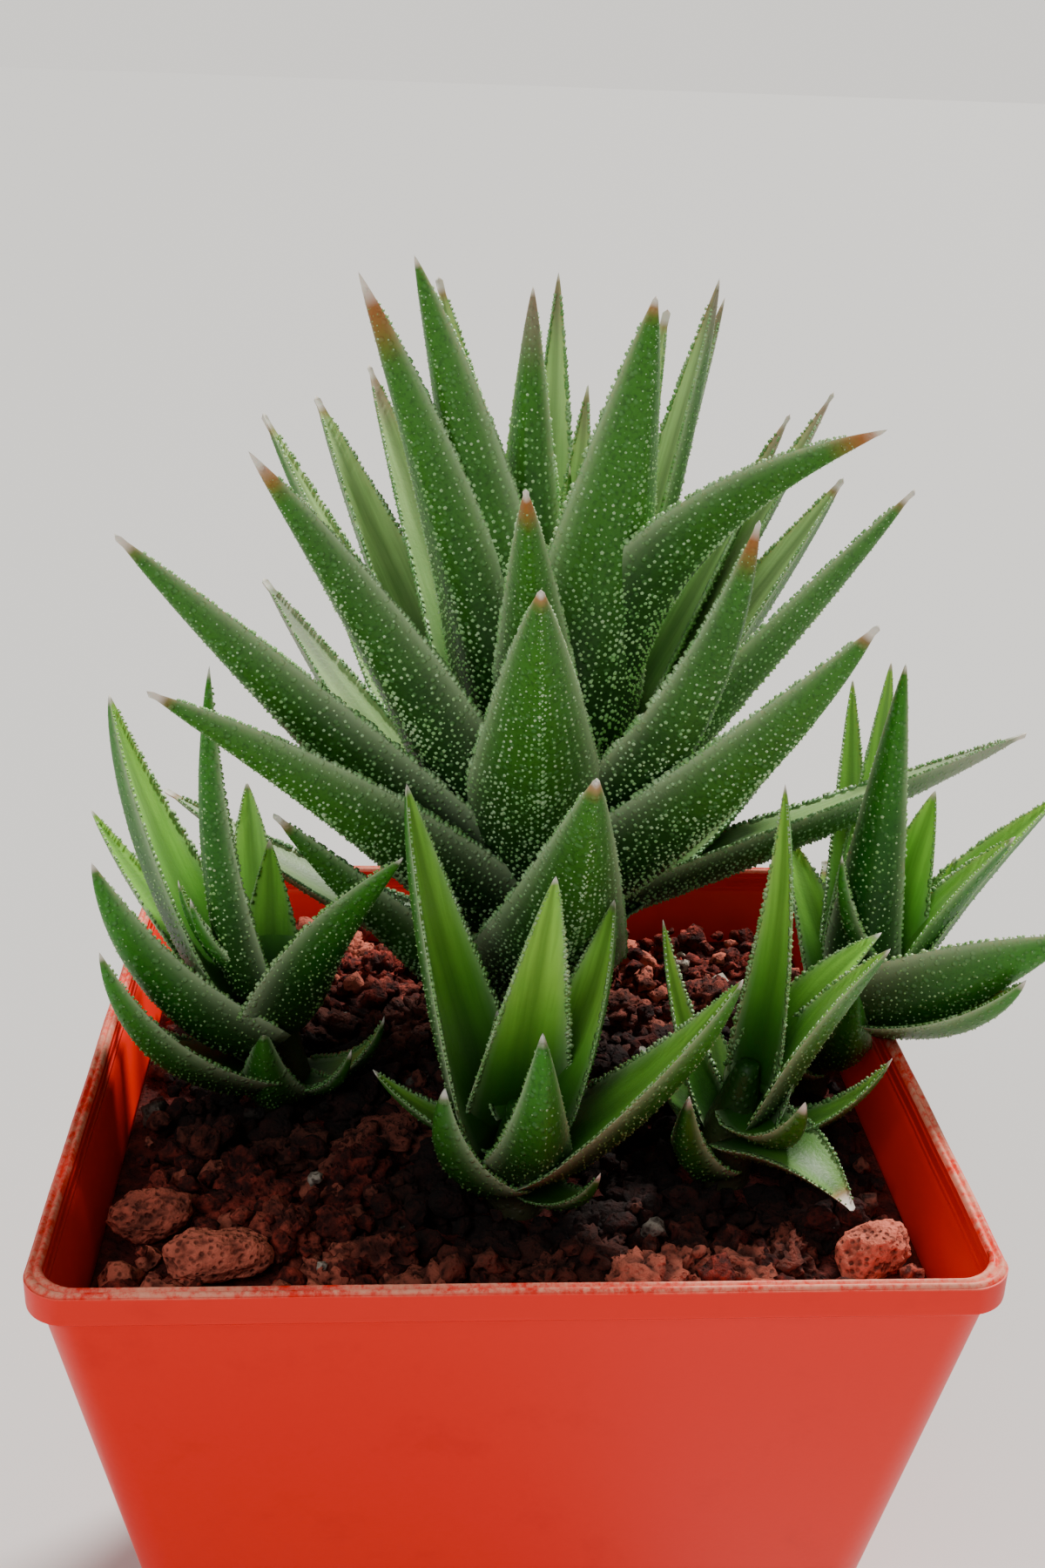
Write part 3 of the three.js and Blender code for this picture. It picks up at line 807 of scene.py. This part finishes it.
def leaf_skin(name, shade_top, deep, light, inner_colour, inner_light, painted_shade_colour):
    """Green flesh under a hard skin, with a pale margin, a streaked inner face and a dried tip.

    Each leaf is painted darker towards its foot, as shade, and lower down the plant, up to the height
    shade_top, the colour is painted darker as shade.
    """
    finish = Finish(name, {"Subsurface Weight": 0.08, "Subsurface Scale": 0.0012,
                           "Specular IOR Level": 0.28})
    inner, margin, ridge = (finish.zone("leaf_form", i) for i in range(3))
    white, scorch, along = (finish.zone("leaf_dry", i) for i in range(3))
    tone = finish.zone("leaf_grain", 2)
    grain = finish.node("ShaderNodeAttribute", {"attribute_name": "leaf_grain"}, output=1)
    stretched = finish.node("ShaderNodeMapping", inputs={"Vector": grain, "Scale": (1, 0.06, 9)})
    streaks = finish.noise(0.045, 2, 0.5, stretched)
    clouds = finish.noise(7 * MM, 4, 0.6)
    flecks = finish.noise(0.4 * MM, 3, 0.6)
    cells = {"Vector": finish.place(), "Scale": 1 / (0.78 * MM), "Randomness": 0.9}
    dots = 1 - finish.step(finish.node("ShaderNodeTexVoronoi", inputs=cells), 0.16, 0.4)
    back = finish.mix(finish.step(clouds * 0.5 + tone * 0.3 + along, 0.45, 1.3), deep, light)
    back = finish.mix(finish.step(flecks, 0.45, 0.7) * 0.45, back, deep)
    back = finish.mix(dots * 0.6, back, DOT_COLOUR)
    face = finish.mix(finish.step(along + clouds * 0.3, 0.2, 0.95), inner_colour, inner_light)
    face = finish.mix(finish.step(streaks, 0.4, 0.7) * 0.22, face, light)
    face = finish.mix(ridge * 0.5, face, deep)
    colour = finish.mix(inner, back, face)
    # Painted shade: each leaf darkens towards its foot, where the leaves above shade it.
    colour = finish.mix((1 - finish.step(along, 0.02, 0.52)) * 0.8, colour, painted_shade_colour)
    # Painted shade: the lower on the plant, the darker, up to shade_top.
    height = finish.node("ShaderNodeSeparateXYZ", inputs={0: finish.place()}, output="Z")
    colour = finish.mix((1 - finish.step(height, SHADE_FOOT, shade_top)) * SHADE, colour, painted_shade_colour)
    colour = finish.mix(margin * 0.75, colour, MARGIN_COLOUR)
    scorched = finish.node("ShaderNodeAttribute", {"attribute_name": "leaf_scorch"})
    colour = finish.mix(scorch * (0.7 + streaks * 0.3), colour, scorched)
    finish.feed("Base Color", finish.mix(white, colour, DRY_COLOUR))
    finish.feed("Roughness", 0.36 + flecks * 0.2 + white * 0.3)
    finish.bump(flecks * 0.5 + clouds * 0.5 + dots * (1 - inner), 0.09 * MM, 0.9)
    return finish


def tubercle_skin(name, shade_top, shaded, colour, tint):
    """The hard, off-white, slightly see-through skin of a tubercle, painted darker and greener low down
    on the plant as shade.
    """
    finish = Finish(name, {"Subsurface Weight": 0.1, "Subsurface Scale": 0.0008})
    clouds = finish.noise(2.5 * MM, 2)
    height = finish.node("ShaderNodeSeparateXYZ", inputs={0: finish.place()}, output="Z")
    pale = finish.mix(finish.step(clouds, 0.35, 0.7), colour, tint)
    # Painted shade: low tubercles take the darker, shaded colour.
    finish.feed("Base Color", finish.mix(finish.step(height, SHADE_FOOT, shade_top), shaded, pale))
    finish.feed("Roughness", 0.3 + clouds * 0.2)
    return finish


def make_rosette(node, rosette, rows, first, steps, finish):
    """Grow a rosette's stem and leaves as one piece, and give back its leaves."""
    shape = bmesh.new()
    add_stem(shape, rosette)
    leaves = [Leaf(rosette, row, first + i) for i, row in enumerate(rows)]
    for leaf in leaves:
        add_leaf(shape, leaf, LEAF_COLUMNS, steps)
    make_piece(node.replace("rosette", "plant").replace("offset", "pup"), shape, finish, [node])
    return leaves


def make_studs(name, leaves, gap, radius, finish):
    """All the tubercles of some leaves, as one piece."""
    whole = bmesh.new()
    for leaf in leaves:
        studs = bmesh.new()
        add_tubercles(studs, leaf, gap, radius)
        append(whole, studs)
    make_piece(name, whole, finish)


main_rows = MAIN_LEAVES + far_leaves(10, (50, 130), (72, 98), (70, 26), (44, 50), (13, 13))
main = Rosette(STEM_FEET["main_rosette"], (3.5, 8, 108), 5.5)
main_skin = leaf_skin("main_leaf", 112 * MM, (0.001, 0.026, 0.002, 1), (0.045, 0.2, 0.012, 1),
                      (0.06, 0.28, 0.03, 1), (0.48, 0.74, 0.26, 1), (0.001, 0.014, 0.002, 1))
main_leaves = make_rosette("main_rosette", main, main_rows, 0, MAIN_STEPS, main_skin)
main_studs = tubercle_skin("main_tubercle", 115 * MM, (0.07, 0.18, 0.06, 1),
                           (0.22, 0.48, 0.15, 1), (0.48, 0.7, 0.38, 1))
make_studs("main_tubercles_lower", main_leaves[0::2], MAIN_STUD_GAP, MAIN_STUD_RADIUS,
           main_studs)
make_studs("main_tubercles_upper", main_leaves[1::2], MAIN_STUD_GAP, MAIN_STUD_RADIUS,
           main_studs)


# Four offsets stand round the main plant in front and at its sides. Their young leaves are smaller,
# smoother and yellower, channelled on the inner face, with fine white teeth along their margins.
LEFT_LEAVES = [
    (72, 222, 46, 27, 13, 3, 0, "green"),
    (70, 320, 57, 11.5, 5, 2, 0, "green"),
    (76, 205, 38, 27, 15, 2, -25, "green"),
    (78, 320, 38, 28, 14, -2, 0, "green"),
    (69, 262, 36, 13, 9, 2, 0, "green"),
    (70, 350, 55, 13, 7, 2, 0, "green"),
    (77, 92, 30, 18, 9, 1, 0, "green"),
    (78, 150, 50, 27, 8, 1, 0, "green"),
    (80, 150, 31, 33, 16, 1.5, -20, "green"),
    (80, 99, 50, 24, 10, 1, 0, "green"),
    (80, 230, 9, 36, 8, 2, 0, "green"),
    (83, 190, 34, 13, 5, 1, 0, "green"),
    (84, 208, 36, 11, 5, 1, 0, "green"),
]
FRONT_LEAVES = [
    (71.5, 210, 37, 13, 12, 2, 0, "green"),
    (70, 315, 64, 11, 6, 2, 0, "green"),
    (74, 175, 62, 15, 6, 1, 0, "green"),
    (72, 278, 25, 20, 10, 3, 0, "green"),
    (73, 345, 43, 28, 16, 1, 0, "green"),
    (74, 110, -11, 30, 12, 0, 0, "green"),
    (74, 150, 20, 35, 14, 0.5, 0, "green"),
    (76, 27, 23.5, 22.8, 12, 1, 0, "green"),
    (77, 120, 24, 10, 5, 1, 0, "green"),
]
FRONT_RIGHT_LEAVES = [
    (73, 308, 97, 15, 12, -2, 0, "capped"),
    (72, 130, 29, 21, 5, 1, 0, "green"),
    (76, 296, 63, 10.5, 9, 2.5, 0, "green"),
    (72, 350, 57, 17, 6, 2, 0, "green"),
    (69, 228, 36, 12, 8, 2, 0, "green"),
    (74, 20, 41, 22, 12, -2.5, 0, "green"),
    (75, 345, 34, 22, 12, -1.2, 0, "green"),
    (77, 30, 3.5, 30.5, 8, 1, 0, "green"),
    (77, 30, 23, 12.5, 7, -0.5, 0, "green"),
]
RIGHT_LEAVES = [
    (72, 274, 34, 14, 9, 2, 0, "green"),
    (70, 215, 42, 12, 8, 2, 0, "green"),
    (78.5, 318, 64.5, 19, 13, 2, 0, "green"),
    (78, 328, 57.5, 24, 21, -1, 35, "green"),
    (77, 82, 43, 37, 7, 0, 0, "green"),
    (77, 73, 38, 38, 8, 0, 0, "green"),
    (78, 345, 34, 24, 13, -1.5, 0, "green"),
    (79, 5, 41, 28, 12, -1.5, 0, "green"),
    (79, 240, -5.5, 34.5, 9, 0, 0, "green"),
    (80, 20, 36, 16, 6, 1, 0, "green"),
    (81, 40, 23, 20, 11, 0, 0, "green"),
    (83, 200, 25, 14, 5, 1, 0, "green"),
]
OFFSETS = {
    "left_offset": (
        Rosette(STEM_FEET["left_offset"], (-24, -3, 84), 3.2), LEFT_LEAVES,
        far_leaves(2, (125, 175), (73, 75), (62, 56), (18, 20), (9, 9)),
    ),
    "front_offset": (
        Rosette(STEM_FEET["front_offset"], (0.5, -19, 79), 3), FRONT_LEAVES,
        far_leaves(1, (20, 20), (71, 71), (62, 62), (13, 13), (7, 7)),
    ),
    "front_right_offset": (
        Rosette(STEM_FEET["front_right_offset"], (22, -14, 80), 3), FRONT_RIGHT_LEAVES,
        far_leaves(2, (80, 200), (71, 72), (60, 58), (12, 12), (7, 7)),
    ),
    "right_offset": (
        Rosette(STEM_FEET["right_offset"], (38, 0, 84), 3), RIGHT_LEAVES,
        far_leaves(3, (50, 130), (77, 78), (58, 52), (18, 20), (9, 9)),
    ),
}

OFFSET_FIRST = 100
OFFSET_STRIDE = 20
OFFSET_STEPS = 24
OFFSET_STUD_GAP = 0.85
OFFSET_STUD_RADIUS = 0.15

young_skin = leaf_skin("offset_leaf", 88 * MM, (0.003, 0.055, 0.004, 1), (0.04, 0.24, 0.01, 1),
                       (0.04, 0.32, 0.01, 1), (0.3, 0.68, 0.08, 1), (0.008, 0.035, 0.003, 1))
offset_leaves = []
for i, (node, (rosette, rows, far_rows)) in enumerate(OFFSETS.items()):
    rows = rows + far_rows
    first = OFFSET_FIRST + OFFSET_STRIDE * i
    offset_leaves += make_rosette(node, rosette, rows, first, OFFSET_STEPS, young_skin)
young_studs = tubercle_skin("offset_tubercle", 95 * MM, (0.08, 0.22, 0.05, 1),
                            (0.26, 0.54, 0.15, 1), (0.5, 0.7, 0.38, 1))
make_studs("offset_tubercles", offset_leaves, OFFSET_STUD_GAP, OFFSET_STUD_RADIUS,
           young_studs)


# The plant stands on a plain pale floor that runs out into a sky of its own colour. Soft sunlight falls
# from behind its right shoulder, and a weaker light from in front of it on the left.
FLOOR_RADIUS = 60
SKY_STRENGTH = 0.2
BACKDROP_STRENGTH = 1.13

floor_shape = bmesh.new()
bmesh.ops.create_circle(floor_shape, cap_ends=True, segments=96, radius=FLOOR_RADIUS)
floor_mesh = bpy.data.meshes.new("floor")
floor_shape.to_mesh(floor_mesh)
floor_shape.free()
floor = bpy.data.objects.new("floor", floor_mesh)
floor_finish = Finish("floor", {"Base Color": (0.72, 0.71, 0.69, 1), "Roughness": 0.8})
floor_mesh.materials.append(floor_finish.material)
scene.collection.objects.link(floor)


def soft_sun(name, side, softness, strength, colour):
    """A soft light from one side, given as the way from the plant to the light."""
    lamp = bpy.data.lights.new(name, "SUN")
    lamp.angle = math.radians(softness)
    lamp.energy = strength
    lamp.color = colour
    holder = bpy.data.objects.new(name, lamp)
    holder.rotation_euler = (-Vector(side)).to_track_quat("-Z", "Y").to_euler()
    scene.collection.objects.link(holder)


soft_sun("key_light", (0.42, 0.62, 0.85), 14, 5.2, (1, 0.98, 0.94))
soft_sun("fill_light", (-0.45, -0.8, 0.85), 30, 1.0, (0.96, 0.98, 1))

world = bpy.data.worlds.new("studio")
world.use_nodes = True
nodes = world.node_tree.nodes
rays = nodes.new("ShaderNodeLightPath")
sky = nodes.new("ShaderNodeMapRange")
sky.inputs["To Min"].default_value = SKY_STRENGTH
sky.inputs["To Max"].default_value = BACKDROP_STRENGTH
world.node_tree.links.new(rays.outputs["Is Camera Ray"], sky.inputs["Value"])
world.node_tree.links.new(sky.outputs[0], nodes["Background"].inputs["Strength"])
nodes["Background"].inputs["Color"].default_value = (1, 0.967, 0.91, 1)
scene.world = world
